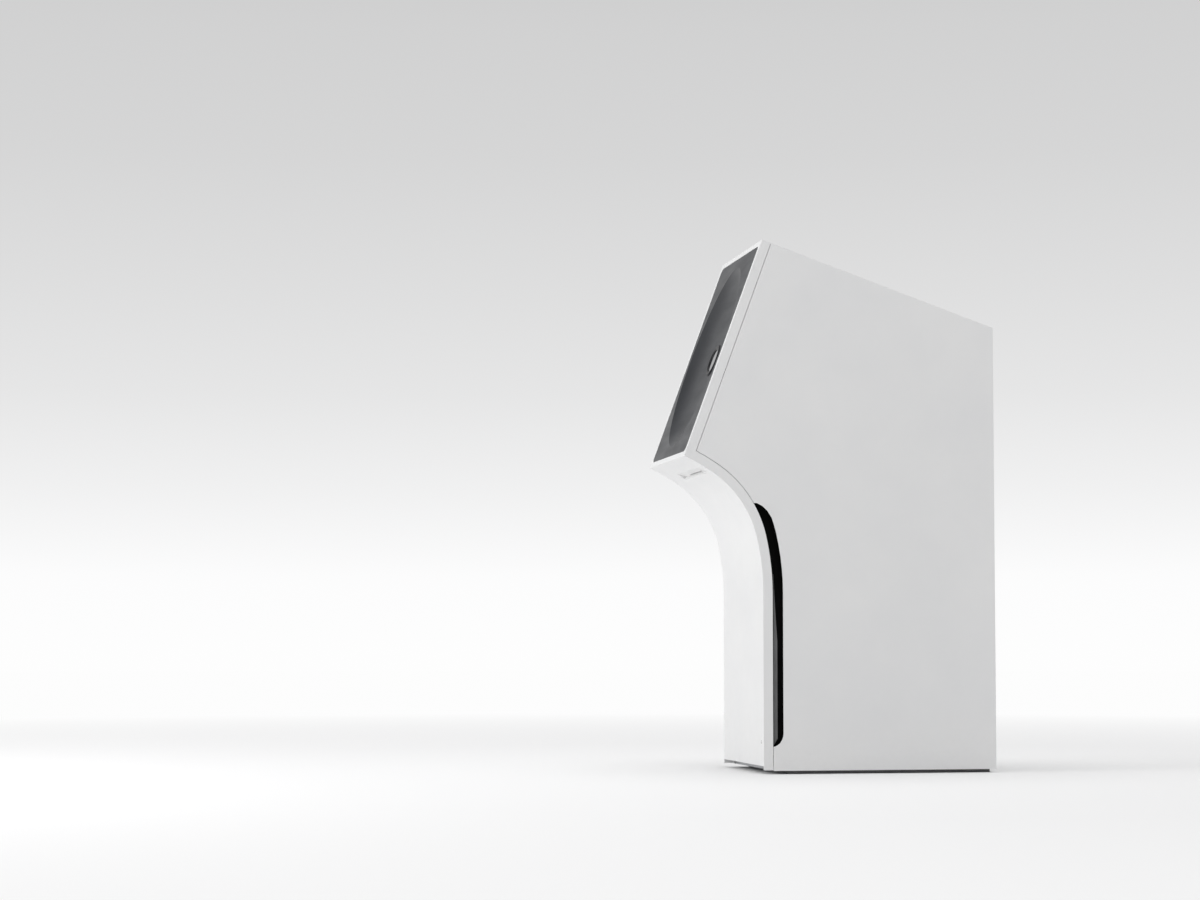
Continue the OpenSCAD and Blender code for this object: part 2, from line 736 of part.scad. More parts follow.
module print_outlet() {
    h = outlet_height / 2;
    y0 = -h + 1.5;
    slit = 78;
    slit_gap = 4;
    wall = 2.5;
    floor_z = -7;
    back_z = -10;
    color([0.93, 0.93, 0.93]) on_outlet() difference() {
        union() {
            rounded_plate(outlet_width + 4, outlet_height + 4, 2.8, back_z, -0.6);
            block(-slit - 3, slit + 3, y0 - wall, y0 + slit_gap + wall, -24, back_z + 0.1);
        }
        along_x(outlet_width, [[-h, 1], [h, 1], [h, -1.2], [y0 + slit_gap, floor_z], [-h, floor_z]]);
        block(-slit, slit, y0, y0 + slit_gap, -30, floor_z + 1);
    }
}

placed() plinth();
placed() base_plate();
placed() levelling_feet();
placed() foot_nuts();
placed() side_panel_left();
placed() side_panel_right();
placed() top_panel();
placed() rear_panel();
placed() rear_screws();
placed() frame_left();
placed() frame_right();
placed() slot_liner_left();
placed() slot_liner_right();
placed() slot_scoops();
placed() printer_shelf();
placed() computer_shelf();
placed() printer_body();
placed() printer_lid();
placed() paper_roll();
placed() feed_roller();
placed() print_chute();
placed() computer();
placed() power_supply();
placed() fan_frame();
placed() fan_rotor();
placed() mains_inlet();
placed() power_rocker();
placed() hinge_leaf_body();
placed() hinge_leaf_door();
placed() hinge_pins();
placed() door_shell();
placed() face_panel();
placed() face_clamps();
placed() lens_bezel();
placed() lens_window();
placed() camera_bracket();
placed() camera_body();
placed() camera_lens();
placed() camera_pivots();
placed() flash_boards();
placed() print_outlet();
placed() lock_barrel();
placed() lock_cam();
placed() lock_strike();
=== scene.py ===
# %% [markdown]
# # A free-standing photo booth
# The booth is a steel cabinet with a folded front door. A dark dished panel in the door holds the lens.
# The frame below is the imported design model, in metres. Every finished piece rides on one of its bodies.

# %% Load the frame
import json
from math import cos, pi, radians, sin

import bpy
from mathutils import Matrix, Vector


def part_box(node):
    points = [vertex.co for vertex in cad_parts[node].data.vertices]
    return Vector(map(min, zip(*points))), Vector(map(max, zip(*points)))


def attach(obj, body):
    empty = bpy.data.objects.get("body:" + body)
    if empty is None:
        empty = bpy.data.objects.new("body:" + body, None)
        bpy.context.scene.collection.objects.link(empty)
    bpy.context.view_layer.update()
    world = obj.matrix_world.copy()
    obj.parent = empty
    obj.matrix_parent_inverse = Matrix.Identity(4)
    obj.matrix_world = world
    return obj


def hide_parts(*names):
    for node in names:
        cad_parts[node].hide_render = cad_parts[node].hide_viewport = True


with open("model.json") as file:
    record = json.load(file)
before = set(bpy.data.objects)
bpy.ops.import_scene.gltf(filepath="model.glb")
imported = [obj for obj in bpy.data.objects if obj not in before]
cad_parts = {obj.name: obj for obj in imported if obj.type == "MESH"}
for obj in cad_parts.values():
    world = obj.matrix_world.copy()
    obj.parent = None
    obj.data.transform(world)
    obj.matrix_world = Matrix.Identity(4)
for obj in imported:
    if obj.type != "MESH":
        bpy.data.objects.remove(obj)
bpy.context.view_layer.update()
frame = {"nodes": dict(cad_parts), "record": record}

# %% [markdown]
# ## Camera
# The booth is seen almost square on to its side, from far away and from knee height, so its upright
# edges stay upright. A long lens does that. A small lens shift lifts the view without tipping the camera.

# %% Camera
CAMERA_SPOT = (7.3077, -2.075, 0.363)
CAMERA_YAW = 79.26
LENS_SHIFT = 0.06
CAMERA_PITCH = 3.05

camera_data = bpy.data.cameras.new("camera")
camera_data.lens = 73.2
camera_data.sensor_width = 36
camera_data.shift_y = LENS_SHIFT
camera = bpy.data.objects.new("camera", camera_data)
camera.location = CAMERA_SPOT
camera.rotation_euler = (radians(90 + CAMERA_PITCH), 0, radians(CAMERA_YAW))
bpy.context.scene.collection.objects.link(camera)
bpy.context.scene.camera = camera
print("camera:", CAMERA_SPOT, "lens", camera_data.lens, "mm")

# %% [markdown]
# ## Helpers for shaping
# Operators act on whatever is selected, so each step first clears the selection and then picks one piece.

# %% Select and finish one piece
def only(piece):
    """Makes piece the one selected and active object."""
    if bpy.context.object and bpy.context.object.mode != "OBJECT":
        bpy.ops.object.mode_set(mode="OBJECT")
    bpy.ops.object.select_all(action="DESELECT")
    piece.select_set(True)
    bpy.context.view_layer.objects.active = piece
    return piece


def apply_bevel(piece, width, segments=2, angle=30):
    """Rounds the sharp edges of piece by width metres."""
    only(piece)
    bevel = piece.modifiers.new("edge", "BEVEL")
    bevel.width, bevel.segments, bevel.angle_limit = width, segments, radians(angle)
    bevel.limit_method = "ANGLE"
    bpy.ops.object.modifier_apply(modifier="edge")
    return piece


def smooth(piece, angle=32):
    """Shades piece smooth where faces meet at less than angle, and keeps its large faces flat."""
    only(piece)
    bpy.ops.object.shade_smooth_by_angle(angle=radians(angle))
    level = piece.modifiers.new("level", "WEIGHTED_NORMAL")
    level.mode, level.weight, level.keep_sharp = "FACE_AREA", 80, True
    bpy.ops.object.modifier_apply(modifier="level")
    return piece


def settle(piece, body, material, slot, *nodes):
    """Applies the place of piece, gives it its finish and its body, and hides the nodes it stands for."""
    only(piece)
    bpy.ops.object.transform_apply(location=True, rotation=True, scale=True)
    piece.data.materials.clear()
    piece.data.materials.append(material)
    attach(piece, body)
    if nodes:
        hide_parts(*nodes)
    return piece


BODY_OF = {n: b for b, members in frame["record"]["behaviour"]["bodies"].items() for n in members}

# %% [markdown]
# Sheet metal has folded and filed edges that catch a thin line of light. A copy of a design solid is
# merged into one skin, its flat faces are joined, and its sharp edges get a very small round.

# %% Copy a design solid with real edges
def dressed(node, material, slot, edge=0.0005, segments=2, angle=30, soft=32):
    """Copies a design node as a merged mesh with rounded edges and smooth curves."""
    mesh = frame["nodes"][node].data.copy()
    piece = bpy.data.objects.new(node + "_finished", mesh)
    bpy.context.scene.collection.objects.link(piece)
    only(piece)
    if mesh.has_custom_normals:
        bpy.ops.mesh.customdata_custom_splitnormals_clear()
    bpy.ops.object.mode_set(mode="EDIT")
    bpy.ops.mesh.select_all(action="SELECT")
    bpy.ops.mesh.remove_doubles(threshold=0.000004)
    bpy.ops.mesh.dissolve_limited(angle_limit=radians(0.4))
    bpy.ops.object.mode_set(mode="OBJECT")
    if edge:
        apply_bevel(piece, edge, segments, angle)
    smooth(piece, soft)
    settle(piece, BODY_OF[node], material, slot, node)
    print(piece.name, len(piece.data.polygons), "faces")
    return piece

# %% [markdown]
# ## Helpers for finishes
# A finish starts from the Principled shader. Textures read Object coordinates, which are metres here,
# so a scale of 1000 gives grain about a millimetre across.

# %% Build a finish
def finish_of(name, colour, roughness, metallic=0.0, specular=0.5, coat=0.0, coat_roughness=0.1):
    """Makes a material and returns it with its node tree and shader."""
    material = bpy.data.materials.new(name)
    material.use_nodes = True
    tree = material.node_tree
    shader = tree.nodes["Principled BSDF"]
    shader.inputs["Base Color"].default_value = (*colour, 1)
    shader.inputs["Roughness"].default_value = roughness
    shader.inputs["Metallic"].default_value = metallic
    shader.inputs["Specular IOR Level"].default_value = specular
    shader.inputs["Coat Weight"].default_value = coat
    shader.inputs["Coat Roughness"].default_value = coat_roughness
    return material, tree, shader


def add(tree, kind, **values):
    """Adds a node. Names that are sockets set the socket, the rest set the node."""
    node = tree.nodes.new(kind)
    for key, value in values.items():
        if key in node.inputs:
            node.inputs[key].default_value = value
        else:
            setattr(node, key, value)
    return node


def grain(tree, scale, detail=3.0, stretch=(1, 1, 1), turn=(0, 0, 0)):
    """A noise texture in Object coordinates, stretched along an axis for brushed metal."""
    place = add(tree, "ShaderNodeTexCoord")
    mapping = add(tree, "ShaderNodeMapping", Scale=stretch, Rotation=turn)
    noise = add(tree, "ShaderNodeTexNoise", Scale=scale, Detail=detail)
    tree.links.new(place.outputs["Object"], mapping.inputs["Vector"])
    tree.links.new(mapping.outputs["Vector"], noise.inputs["Vector"])
    return noise.outputs["Fac"]


def spread(tree, value, low, high, start=0.3, end=0.7):
    """Maps a texture value to a number between low and high."""
    remap = add(tree, "ShaderNodeMapRange")
    remap.inputs["From Min"].default_value, remap.inputs["From Max"].default_value = start, end
    remap.inputs["To Min"].default_value, remap.inputs["To Max"].default_value = low, high
    tree.links.new(value, remap.inputs["Value"])
    return remap.outputs["Result"]


def shade_between(tree, shader, value, dark, light, start=0.3, end=0.7):
    """Colours the shader between two shades by a texture value."""
    ramp = add(tree, "ShaderNodeValToRGB")
    ramp.color_ramp.elements[0].position, ramp.color_ramp.elements[1].position = start, end
    ramp.color_ramp.elements[0].color = (*dark, 1)
    ramp.color_ramp.elements[1].color = (*light, 1)
    tree.links.new(value, ramp.inputs["Fac"])
    tree.links.new(ramp.outputs["Color"], shader.inputs["Base Color"])
    return ramp


def rough_between(tree, shader, value, low, high):
    """Varies the shader's roughness between two numbers by a texture value."""
    tree.links.new(spread(tree, value, low, high), shader.inputs["Roughness"])


def relief(tree, shader, value, depth, strength=1.0):
    """Raises the surface by depth metres where value is 1."""
    bump = add(tree, "ShaderNodeBump", Strength=strength, Distance=depth)
    tree.links.new(value, bump.inputs["Height"])
    tree.links.new(bump.outputs["Normal"], shader.inputs["Normal"])
    return bump

# %% [markdown]
# ## Paints and plastics
# The cabinet is powder coated in a satin white. Powder melts into a faint orange peel, a little uneven in
# gloss. Near the floor it picks up grey dust from shoes and mops, which a height mask adds very lightly.

# %% White powder coat
def white_powder_coat():
    material, tree, shader = finish_of("white_powder_coat", (0.8, 0.8, 0.8), 0.4, coat=0.12,
                                       coat_roughness=0.25)
    cloud = grain(tree, 5.0, 4.0)
    ramp = shade_between(tree, shader, cloud, (0.765, 0.768, 0.772), (0.8, 0.8, 0.798), 0.25, 0.75)
    place = add(tree, "ShaderNodeTexCoord")
    split = add(tree, "ShaderNodeSeparateXYZ")
    tree.links.new(place.outputs["Object"], split.inputs["Vector"])
    low = spread(tree, split.outputs["Z"], 1.0, 0.0, 0.012, 0.16)
    speck = grain(tree, 60.0, 6.0)
    dust = add(tree, "ShaderNodeMath", operation="MULTIPLY")
    tree.links.new(low, dust.inputs[0])
    tree.links.new(spread(tree, speck, 0.0, 0.05, 0.42, 0.68), dust.inputs[1])
    mix = add(tree, "ShaderNodeMix", data_type="RGBA")
    mix.inputs["B"].default_value = (0.55, 0.54, 0.52, 1)
    tree.links.new(dust.outputs["Value"], mix.inputs["Factor"])
    tree.links.new(ramp.outputs["Color"], mix.inputs["A"])
    tree.links.new(mix.outputs["Result"], shader.inputs["Base Color"])
    peel = grain(tree, 420.0, 2.0)
    rough_between(tree, shader, grain(tree, 30.0, 3.0), 0.36, 0.46)
    relief(tree, shader, peel, 0.00012, 0.35)
    return material


WHITE = white_powder_coat()
print("finish:", WHITE.name)

# %% [markdown]
# The sunk face panel is a dark grey moulding with a semi-gloss skin. Its fine spark texture breaks up
# reflections, and light dust and faint wipe marks change its gloss over broad areas.

# %% Dark moulded face
def dark_moulding():
    material, tree, shader = finish_of("dark_moulding", (0.027, 0.029, 0.034), 0.34, specular=0.5)
    shade_between(tree, shader, grain(tree, 14.0, 5.0), (0.0135, 0.015, 0.0185), (0.02, 0.022, 0.027))
    wipe = grain(tree, 6.0, 4.0, (1.0, 1.0, 4.0), (radians(20), 0, 0))
    rough_between(tree, shader, wipe, 0.3, 0.4)
    relief(tree, shader, grain(tree, 1500.0, 2.0), 0.00004, 0.4)
    return material


DARK_FACE = dark_moulding()

# %% [markdown]
# Moulded black plastic has a sandy texture from its tool. The same recipe, with other shades, serves the
# printer case, the switch and the rubber feet.

# %% Moulded plastics and rubber
def moulded(name, dark, light, roughness, depth=0.00006, size=1100.0):
    """Moulded plastic: two close shades, uneven gloss and a sandy skin depth metres deep."""
    material, tree, shader = finish_of(name, light, roughness)
    shade_between(tree, shader, grain(tree, 18.0, 5.0), dark, light)
    rough_between(tree, shader, grain(tree, 9.0, 3.0), roughness - 0.06, roughness + 0.08)
    relief(tree, shader, grain(tree, size, 2.0), depth, 0.5)
    return material


BLACK_PLASTIC = moulded("black_plastic", (0.008, 0.008, 0.009), (0.016, 0.016, 0.017), 0.5)
PRINTER_CASE = moulded("printer_case", (0.045, 0.047, 0.052), (0.06, 0.062, 0.068), 0.45)
SWITCH_RED = moulded("switch_red", (0.42, 0.02, 0.016), (0.5, 0.03, 0.022), 0.3, 0.00003)
FOOT_RUBBER = moulded("foot_rubber", (0.014, 0.014, 0.014), (0.026, 0.025, 0.024), 0.8, 0.0001, 600.0)
# Slot liner finish: black plastic made darker and duller still, painted shade of the deep slots.
SLOT_BLACK_AND_PAINTED_SHADE = moulded("slot_black_and_painted_shade", (0.002, 0.002, 0.002), (0.005, 0.005, 0.005), 0.8, 0.00008)
SLOT_BLACK_AND_PAINTED_SHADE.node_tree.nodes["Principled BSDF"].inputs["Specular IOR Level"].default_value = 0.05
OUTLET_WHITE = moulded("outlet_white", (0.75, 0.75, 0.75), (0.79, 0.79, 0.785), 0.4, 0.00003)

# %% [markdown]
# The plinth is rough dark grey paint over steel, scuffed paler where shoes and brooms touch it. The curved
# strips in the side slots take a plain mid-grey moulded finish, which is painted shade of a white flange.

# %% Plinth paint
def scuffed_paint():
    material, tree, shader = finish_of("plinth_paint", (0.12, 0.12, 0.123), 0.55)
    scuff = grain(tree, 45.0, 8.0, (1.0, 1.0, 5.0))
    shade_between(tree, shader, scuff, (0.1, 0.1, 0.103), (0.16, 0.157, 0.152), 0.5, 0.8)
    rough_between(tree, shader, scuff, 0.5, 0.7)
    relief(tree, shader, grain(tree, 800.0, 3.0), 0.00008, 0.5)
    return material


PLINTH_PAINT = scuffed_paint()
print("finish:", PLINTH_PAINT.name)
# Slot strip finish: mid grey as painted shade of a white flange deep in the slot.
SLOT_GREY_PAINTED_SHADE = moulded("slot_grey_painted_shade", (0.17, 0.17, 0.172), (0.21, 0.21, 0.212), 0.5, 0.00004)

# %% [markdown]
# ## Metals
# Brushed metal is noise stretched a hundred times along the brushing. Zinc plate has soft grey patches.

# %% Brushed and plated metals
def brushed(name, dark, light, roughness, stretch=(1, 1, 60), scale=25.0):
    """Bare metal with streaks along the stretched axis."""
    material, tree, shader = finish_of(name, light, roughness, metallic=1.0)
    streak = grain(tree, scale, 5.0, stretch)
    shade_between(tree, shader, streak, dark, light)
    rough_between(tree, shader, streak, roughness - 0.07, roughness + 0.08)
    relief(tree, shader, streak, 0.00003, 0.35)
    return material


GREY_STEEL = brushed("zinc_steel", (0.36, 0.37, 0.385), (0.5, 0.51, 0.525), 0.42, (1, 1, 1.6), 70.0)
BRIGHT_STEEL = brushed("bright_steel", (0.55, 0.55, 0.555), (0.72, 0.72, 0.715), 0.24)
BLACK_ANODISED = brushed("black_anodised", (0.012, 0.012, 0.013), (0.03, 0.03, 0.031), 0.36, (8, 1, 1))

# %% [markdown]
# ## Paper and circuit boards
# A wound roll shows its layers on both ends as fine rings about the roll's own axis.

# %% Paper roll
def wound_paper(low, high):
    material, tree, shader = finish_of("wound_paper", (0.83, 0.82, 0.78), 0.7)
    middle = (low + high) / 2
    place = add(tree, "ShaderNodeTexCoord")
    mapping = add(tree, "ShaderNodeMapping")
    mapping.inputs["Location"].default_value = -middle
    rings = add(tree, "ShaderNodeTexWave", wave_type="RINGS", rings_direction="X", Scale=420.0,
                Distortion=0.6)
    rings.inputs["Detail"].default_value = 2.0
    tree.links.new(place.outputs["Object"], mapping.inputs["Vector"])
    tree.links.new(mapping.outputs["Vector"], rings.inputs["Vector"])
    shade_between(tree, shader, rings.outputs["Fac"], (0.7, 0.68, 0.62), (0.86, 0.85, 0.81), 0.1, 0.5)
    relief(tree, shader, rings.outputs["Fac"], 0.00008, 0.6)
    return material


PAPER = wound_paper(*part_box("paper_roll"))

# %% [markdown]
# A board is green resist over copper, with tracks that stand a little proud. A brick pattern gives rows of
# short straight lines, which is enough at the size the boards are seen.

# %% Circuit board
def circuit_board():
    material, tree, shader = finish_of("circuit_board", (0.01, 0.12, 0.05), 0.3, coat=0.4)
    place = add(tree, "ShaderNodeTexCoord")
    tracks = add(tree, "ShaderNodeTexBrick", Scale=160.0)
    tracks.inputs["Color1"].default_value = (0.008, 0.11, 0.045, 1)
    tracks.inputs["Color2"].default_value = (0.012, 0.15, 0.06, 1)
    tracks.inputs["Mortar"].default_value = (0.02, 0.21, 0.08, 1)
    tree.links.new(place.outputs["Object"], tracks.inputs["Vector"])
    tree.links.new(tracks.outputs["Color"], shader.inputs["Base Color"])
    relief(tree, shader, tracks.outputs["Fac"], 0.00003, 0.5)
    return material


BOARD = circuit_board()

# %% [markdown]
# ## Lens metals and glass
# The bezel is black anodised turned aluminium, so its fine lines run in rings about the lens axis. A wave
# texture does this once its coordinates are centred on the lens and turned to face along it.

# %% Turned alloy
FACE_LEAN = radians(20.2)
FACE_OUT = Vector((0, -cos(FACE_LEAN), sin(FACE_LEAN)))


def middle(node):
    low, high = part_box(node)
    return (low + high) / 2


LENS_SPOT = middle("lens_window")
print("lens at", [round(v, 4) for v in LENS_SPOT])


def turned_alloy():
    material, tree, shader = finish_of("turned_alloy", (0.035, 0.035, 0.037), 0.3, metallic=1.0)
    place = add(tree, "ShaderNodeTexCoord")
    centre = add(tree, "ShaderNodeVectorMath", operation="SUBTRACT")
    centre.inputs[1].default_value = LENS_SPOT
    turn = add(tree, "ShaderNodeMapping", Rotation=(-(pi / 2 - FACE_LEAN), 0, 0))
    rings = add(tree, "ShaderNodeTexWave", wave_type="RINGS", rings_direction="Z", Scale=900.0,
                Distortion=0.3)
    tree.links.new(place.outputs["Object"], centre.inputs[0])
    tree.links.new(centre.outputs["Vector"], turn.inputs["Vector"])
    tree.links.new(turn.outputs["Vector"], rings.inputs["Vector"])
    shade_between(tree, shader, rings.outputs["Fac"], (0.022, 0.022, 0.024), (0.05, 0.05, 0.053), 0.2, 0.8)
    relief(tree, shader, rings.outputs["Fac"], 0.00002, 0.5)
    return material


BEZEL_ALLOY = turned_alloy()

# %% [markdown]
# The window is dark, because little light comes back from behind it. What makes it look pale from the side is
# the room mirrored in its coating, so it is very smooth, with a high refractive index and no bright colour.

# %% Coated glass
def coated_glass():
    material, tree, shader = finish_of("coated_glass", (0.014, 0.014, 0.02), 0.03, specular=1.0, coat=1.0,
                                       coat_roughness=0.02)
    shade_between(tree, shader, grain(tree, 30.0, 3.0), (0.01, 0.01, 0.016), (0.02, 0.019, 0.028))
    rough_between(tree, shader, grain(tree, 12.0, 2.0), 0.02, 0.05)
    shader.inputs["IOR"].default_value, shader.inputs["Coat IOR"].default_value = 1.9, 1.9
    return material


GLASS = coated_glass()
print("finishes:", len(bpy.data.materials))

# %% [markdown]
# ## The cabinet sheets
# Sides, roof and back are bent from 2.5 mm sheet. Each keeps the exact shape of the design and gains
# rounded edges.

# %% White sheets
for sheet_name in ("side_panel_left", "side_panel_right", "top_panel", "rear_panel"):
    dressed(sheet_name, WHITE, "white_paint", 0.0004)

# %% [markdown]
# The door is one folded shell. Its long underside bends through three tangent arcs. Smooth shading turns the
# design's short flats into one even curve.

# %% Front door
dressed("door_shell", WHITE, "white_paint", 0.0006, 3, 40, 30)
dressed("print_outlet", OUTLET_WHITE, "white_paint", 0.0005)

# %% [markdown]
# ## The face
# The panel's shallow elliptical dish keeps a crisp rim, so smoothing stops at the rim's angle.

# %% Dished panel
dressed("face_panel", DARK_FACE, "dark_face", 0.0, 2, 30, 9)

# %% [markdown]
# Round pieces come off a lathe, and here they do too. A loop of points in the XZ plane is the tool path,
# and the spin operator turns it once about the Z axis. Points on the axis merge into a closed pole.

# %% Lathe
def turned(name, path, steps=64, closed=True):
    """Turns a path of (radius, height) points in metres about Z. An open path starts and ends on the axis."""
    bpy.ops.object.select_all(action="DESELECT")
    bpy.ops.mesh.primitive_circle_add(vertices=len(path), radius=0.01, fill_type="NOTHING")
    piece = bpy.context.object
    piece.name = name
    for point, (radius, height) in zip(piece.data.vertices, path):
        point.co = (radius, 0, height)
    bpy.ops.object.mode_set(mode="EDIT")
    bpy.ops.mesh.select_all(action="SELECT")
    if not closed:
        bpy.ops.mesh.select_all(action="DESELECT")
        bpy.ops.object.mode_set(mode="OBJECT")
        ends = {0, len(path) - 1}
        for edge in piece.data.edges:
            edge.select = set(edge.vertices) == ends
        bpy.ops.object.mode_set(mode="EDIT")
        bpy.ops.mesh.delete(type="EDGE_FACE")
        bpy.ops.mesh.select_all(action="SELECT")
    bpy.ops.mesh.spin(steps=steps, angle=2 * pi, center=(0, 0, 0), axis=(0, 0, 1))
    bpy.ops.mesh.select_all(action="SELECT")
    bpy.ops.mesh.remove_doubles(threshold=0.000002)
    bpy.ops.mesh.normals_make_consistent(inside=False)
    bpy.ops.object.mode_set(mode="OBJECT")
    return piece


def aim(piece, spot, turn):
    """Puts piece at spot with its Z axis turned by an Euler turn."""
    piece.location, piece.rotation_euler = spot, turn
    return piece


OUT_OF_FACE = (pi / 2 - FACE_LEAN, 0, 0)

# %% [markdown]
# The bezel is a flat ring with a filed outer corner and a cone that falls in to the glass. A tube behind it
# holds the glass in the panel.

# %% Lens bezel
MM = 0.001
bezel_path = [(49, 3.0), (49, 4.2), (48.7, 4.7), (48.0, 4.9), (42.4, 4.9), (41.6, 4.7), (36.3, 2.8),
              (35.75, 2.3),
              (35.75, -2.2), (33.2, -2.2), (33.2, -8), (39.4, -8), (39.4, 3.0)]
bezel = turned("lens_bezel_turned", [(r * MM, h * MM) for r, h in bezel_path], 128)
settle(smooth(aim(bezel, LENS_SPOT, OUT_OF_FACE), 28), "front_door", BEZEL_ALLOY, "bezel_alloy",
       "lens_bezel")
print("bezel:", len(bezel.data.polygons), "faces")

# %% [markdown]
# The window is a coated disc with a slight dome, so it carries a soft curved reflection. Its rim is ground.

# %% Lens window
window_path = [(0, -1.9), (34.6, -1.9), (35.4, -1.3), (35.4, 0.3), (34.9, 0.8), (30, 1.25), (22, 1.6), (12,
                                                                                                        1.82),
               (0, 1.9)]
window = turned("lens_window_domed", [(r * MM, h * MM) for r, h in window_path], 128, closed=False)
settle(smooth(aim(window, LENS_SPOT, OUT_OF_FACE), 30), "front_door", GLASS, "lens_glass", "lens_window")

# %% [markdown]
# The camera's lens sits behind the window. Its barrel has a ribbed focus ring and a deep cone of black rings
# down to the front glass.

# %% Camera lens
LENS_BACK = LENS_SPOT - FACE_OUT * ((LENS_SPOT - middle("camera_lens")).dot(FACE_OUT) + 18.5 * MM)
barrel_path = [(0, 0.2), (32.6, 0.2), (32.9, 0.6), (32.9, 3)]
for rib in range(6):
    barrel_path += [(32.9, 4 + rib * 2), (32.2, 4.3 + rib * 2), (32.2, 5.2 + rib * 2), (32.9,
                                                                                        5.5 + rib * 2)]
barrel_path += [(32.9, 17), (32.2, 17.9), (29.9, 18), (29.9, 36), (29.3, 36.8), (25.2, 36.8), (24.6, 36)]
for step in range(5):
    barrel_path += [(24.4 - step * 1.1, 35.4 - step * 0.7), (24.4 - step * 1.1, 34.9 - step * 0.7)]
barrel_path += [(19, 31.4), (0, 31.4)]
barrel = turned("camera_lens_barrel", [(r * MM, h * MM) for r, h in barrel_path], 96, closed=False)
settle(smooth(aim(barrel, LENS_BACK, OUT_OF_FACE), 25), "camera", BLACK_ANODISED, "anodised_black",
       "camera_lens")
glass_path = [(0, 31.5), (18.8, 31.5), (18.8, 31.9), (14, 33), (8, 33.8), (0, 34.1)]
element = turned("camera_front_glass", [(r * MM, h * MM) for r, h in glass_path], 64, closed=False)
settle(smooth(aim(element, LENS_BACK, OUT_OF_FACE), 40), "camera", GLASS, "lens_glass")
print("camera lens:", len(barrel.data.polygons), "faces")

# %% [markdown]
# Clamps, bracket and camera body keep their design shape.

# %% Behind the face
dressed("face_clamps", BRIGHT_STEEL, "bright_steel", 0.0004)
dressed("camera_bracket", GREY_STEEL, "grey_steel", 0.0003)
dressed("camera_body", BLACK_PLASTIC, "black_plastic", 0.002, 3)
dressed("camera_pivots", BRIGHT_STEEL, "bright_steel", 0.0003)
dressed("flash_boards", BOARD, "board", 0.0004)

# %% [markdown]
# The slot liners are black plastic, pushed to near black with almost no gloss as painted shade, so the
# slots read as deep. A grey curved strip runs down the front of each; its grey is painted shade of a white
# flange deep in the slot. The feet, plinth and switch keep their design shapes too.

# %% Dark parts
for liner_name in ("slot_liner_left", "slot_liner_right"):
    dressed(liner_name, SLOT_BLACK_AND_PAINTED_SHADE, "black_plastic", 0.0003)
dressed("slot_scoops", SLOT_GREY_PAINTED_SHADE, "plinth_paint", 0.0002, 2, 30, 12)
for dark_name in ("fan_frame", "mains_inlet"):
    dressed(dark_name, BLACK_PLASTIC, "black_plastic", 0.0003)
dressed("plinth", PLINTH_PAINT, "plinth_paint", 0.0005)
dressed("levelling_feet", FOOT_RUBBER, "foot_rubber", 0.001)
dressed("power_rocker", SWITCH_RED, "rocker_red", 0.0004)

# %% [markdown]
# ## Fan
# A fan blade is a thin sheet with a twist, steeper at the hub than at the tip. One blade is a subdivided
# plane, twisted and thickened by modifiers. Seven of them stand round a turned hub.

# %% Fan rotor
def blade(name, span, width):
    """A twisted blade in the XZ plane, span long along Z, before it is pitched and placed."""
    bpy.ops.object.select_all(action="DESELECT")
    bpy.ops.mesh.primitive_plane_add(size=1)
    piece = bpy.context.object
    piece.name = name
    piece.rotation_euler = (pi / 2, 0, 0)
    piece.scale = (width, span, 1)
    bpy.ops.object.transform_apply(location=False, rotation=True, scale=True)
    bpy.ops.object.mode_set(mode="EDIT")
    bpy.ops.mesh.subdivide(number_cuts=9)
    bpy.ops.object.mode_set(mode="OBJECT")
    twist = piece.modifiers.new("twist", "SIMPLE_DEFORM")
    twist.deform_method, twist.deform_axis, twist.angle = "TWIST", "Z", BLADE_TWIST
    bpy.ops.object.modifier_apply(modifier="twist")
    wall = piece.modifiers.new("wall", "SOLIDIFY")
    wall.thickness, wall.offset = BLADE_WALL, 0
    bpy.ops.object.modifier_apply(modifier="wall")
    return apply_bevel(piece, 0.0004, 2, 50)


BLADES = 7
BLADE_SPAN, BLADE_WIDTH, BLADE_WALL = 0.034, 0.021, 0.0014
BLADE_TWIST, BLADE_PITCH = radians(24), radians(-40)
BLADE_MIDDLE, HUB_DEPTH = 0.0355, 0.017
rotor_low, rotor_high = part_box("fan_rotor")
FAN_SPOT = (rotor_low + rotor_high) / 2
HUB_START = rotor_high.y - HUB_DEPTH
hub_path = [(0, -5.6), (2.4, -5.6), (2.4, 0), (17.6, 0), (18.9, 1.2), (18.9, 16), (18, 16.9), (12.4, 16.9),
            (12.2, 16.6),
            (0, 16.6)]
hub = turned("fan_rotor_hub", [(r * MM, h * MM) for r, h in hub_path], 64, closed=False)
aim(hub, (FAN_SPOT.x, HUB_START, FAN_SPOT.z), (-pi / 2, 0, 0))
settle(smooth(hub, 30), "fan_rotor", BLACK_PLASTIC, "black_plastic", "fan_rotor")
for turn in range(BLADES):
    vane = blade("fan_blade_%d" % (turn + 1), BLADE_SPAN, BLADE_WIDTH)
    vane.data.transform(Matrix.Rotation(BLADE_PITCH, 4, "Z"))
    vane.data.transform(Matrix.Translation((0, 0, BLADE_MIDDLE)))
    vane.data.transform(Matrix.Rotation(2 * pi * turn / BLADES, 4, "Y"))
    vane.location = (FAN_SPOT.x, HUB_START + HUB_DEPTH / 2, FAN_SPOT.z)
    settle(smooth(vane, 40), "fan_rotor", BLACK_PLASTIC, "black_plastic")
print("fan: hub and", BLADES, "blades")

# %% [markdown]
# ## Screws
# A pan head is turned, then a cross is cut into it with a boolean. One head is made and copied to each place.

